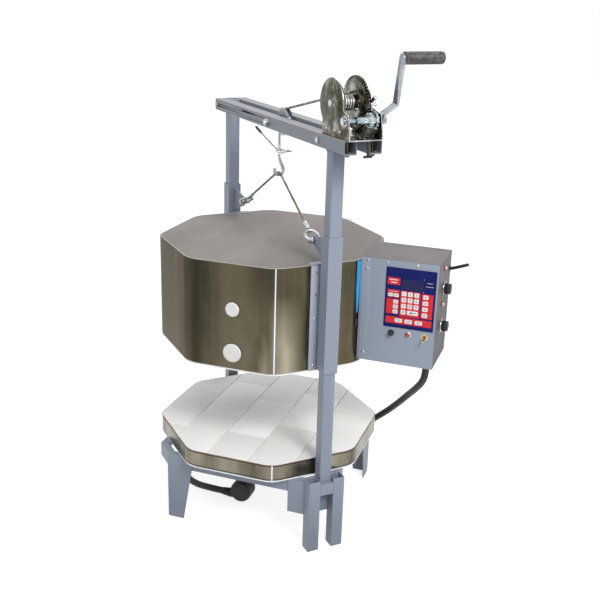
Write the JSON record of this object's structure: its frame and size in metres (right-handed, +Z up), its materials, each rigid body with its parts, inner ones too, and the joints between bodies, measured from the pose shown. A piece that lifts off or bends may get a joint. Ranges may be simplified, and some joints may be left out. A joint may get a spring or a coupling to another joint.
{
  "type": "electric kiln",
  "caption": "Octagonal electric kiln whose brick-lined bell is raised off its floor by a hand winch and cable on a post frame, with a keypad control box.",
  "frame": {"origin": "centre of the kiln floor's top face, on the octagon's axis, where the lowest shelf or the ware stands", "axes": "+Z up along the posts and the octagon's axis; -Y is the side with the peepholes and the control panel's face; +X is the side that carries the control box"},
  "size_m": [0.8221, 0.6439, 1.2926],
  "materials": {
    "black_plastic": "satin",
    "board": "satin",
    "ceramic": "satin",
    "chrome": "polished",
    "cord_rubber": "satin",
    "element_wire": "rough",
    "firebrick": "rough",
    "frame_paint": "satin",
    "grip_plastic": "satin",
    "overlay": "satin",
    "pilot": "gloss",
    "relay": "gloss",
    "stainless": "polished",
    "wire_rope": "satin",
    "zinc": "satin"
  },
  "bodies": {
    "stand": {"floor_bricks": "firebrick", "floor_band": "stainless", "stand_ring": "frame_paint", "stand_legs": "frame_paint", "post_brackets": "frame_paint", "front_feet": "frame_paint", "rear_feet": "frame_paint", "front_post": "frame_paint", "rear_post": "frame_paint", "beam_tube_left": "frame_paint", "beam_tube_right": "frame_paint", "beam_bolts": "zinc", "sheave_axle": "zinc", "winch_frame": "zinc", "winch_rods": "zinc", "winch_bolts": "zinc", "cable_run": "wire_rope", "power_cord_floor": "cord_rubber", "plug": "cord_rubber"},
    "bell": {"roof_bricks": "firebrick", "wall_bricks": "firebrick", "jacket": "stainless", "heating_elements": "element_wire", "thermocouple": "ceramic", "bracket_angles": "frame_paint", "bell_fasteners": "zinc", "front_sleeve": "frame_paint", "rear_sleeve": "frame_paint", "lift_lugs": "frame_paint", "shackles": "chrome", "bridle_front": "wire_rope", "bridle_rear": "wire_rope", "thimble": "chrome", "cable_clip": "chrome", "cable_tail": "wire_rope", "cable_drop": "wire_rope", "control_case": "frame_paint", "control_panel": "frame_paint", "keypad": "overlay", "controller_board": "board", "relays": "relay", "pilot_lights": "pilot", "fuse_holder": "black_plastic", "toggle_bush": "chrome", "cord_peg": "frame_paint", "cord_gland": "black_plastic", "power_cord_drop": "cord_rubber"},
    "drum": {"drum": "zinc", "wound_cable": "wire_rope", "drum_gear": "zinc"},
    "crank": {"pinion_shaft": "zinc", "crank_arm": "zinc"},
    "grip": {"crank_grip": "grip_plastic"},
    "sheave": {"sheave": "zinc"},
    "pawl": {"pawl": "zinc"},
    "upper_knob": {"knob_upper": "black_plastic"},
    "lower_knob": {"knob_lower": "black_plastic"},
    "toggle": {"toggle_lever": "chrome"},
    "upper_plug": {"upper_peep_plug": "ceramic"},
    "lower_plug": {"lower_peep_plug": "ceramic"}
  },
  "joints": [
    {"name": "bell_lift", "type": "slide", "parent": "stand", "child": "bell", "axis": [0, 0, 1], "range_m": [-0.248, 0.04], "deforming": ["cable_drop", "power_cord_drop"]},
    {"name": "drum_spin", "type": "hinge", "parent": "stand", "child": "drum", "pos_m": [0.27337, -0.25838, 0.9325], "axis": [0.7071, 0.7071, 0], "range_deg": [-666, 109]},
    {"name": "crank_spin", "type": "hinge", "parent": "stand", "child": "crank", "pos_m": [0.31932, -0.30433, 0.9015], "axis": [0.7071, 0.7071, 0], "range_deg": [-430, 2661]},
    {"name": "grip_spin", "type": "hinge", "parent": "crank", "child": "grip", "pos_m": [0.40624, -0.24982, 1.03556], "axis": [0.7071, 0.7071, 0], "continuous": true},
    {"name": "sheave_spin", "type": "hinge", "parent": "stand", "child": "sheave", "pos_m": [0.03507, -0.02008, 0.84413], "axis": [0.7071, 0.7071, 0], "range_deg": [-460, 75]},
    {"name": "pawl_swing", "type": "hinge", "parent": "stand", "child": "pawl", "pos_m": [0.32569, -0.27251, 0.9335], "axis": [0.7071, 0.7071, 0], "range_deg": [0, 35]},
    {"name": "upper_knob_turn", "type": "hinge", "parent": "bell", "child": "upper_knob", "pos_m": [0.482, -0.035, 0.457], "axis": [1, 0, 0], "range_deg": [0, 300]},
    {"name": "lower_knob_turn", "type": "hinge", "parent": "bell", "child": "lower_knob", "pos_m": [0.482, -0.035, 0.356], "axis": [1, 0, 0], "range_deg": [0, 300]},
    {"name": "toggle_flip", "type": "hinge", "parent": "bell", "child": "toggle", "pos_m": [0.457, -0.116, 0.347], "axis": [1, 0, 0], "range_deg": [-28, 0]},
    {"name": "upper_plug_pull", "type": "slide", "parent": "bell", "child": "upper_plug", "axis": [0, -1, 0], "range_m": [0, 0.09]},
    {"name": "lower_plug_pull", "type": "slide", "parent": "bell", "child": "lower_plug", "axis": [0, -1, 0], "range_m": [0, 0.09]}
  ],
  "couplings": [
    {"joint": "drum_spin", "follows": "bell_lift", "rad_per_m": 46.784},
    {"joint": "sheave_spin", "follows": "bell_lift", "rad_per_m": 32.258},
    {"joint": "crank_spin", "follows": "bell_lift", "rad_per_m": -187.13}
  ]
}
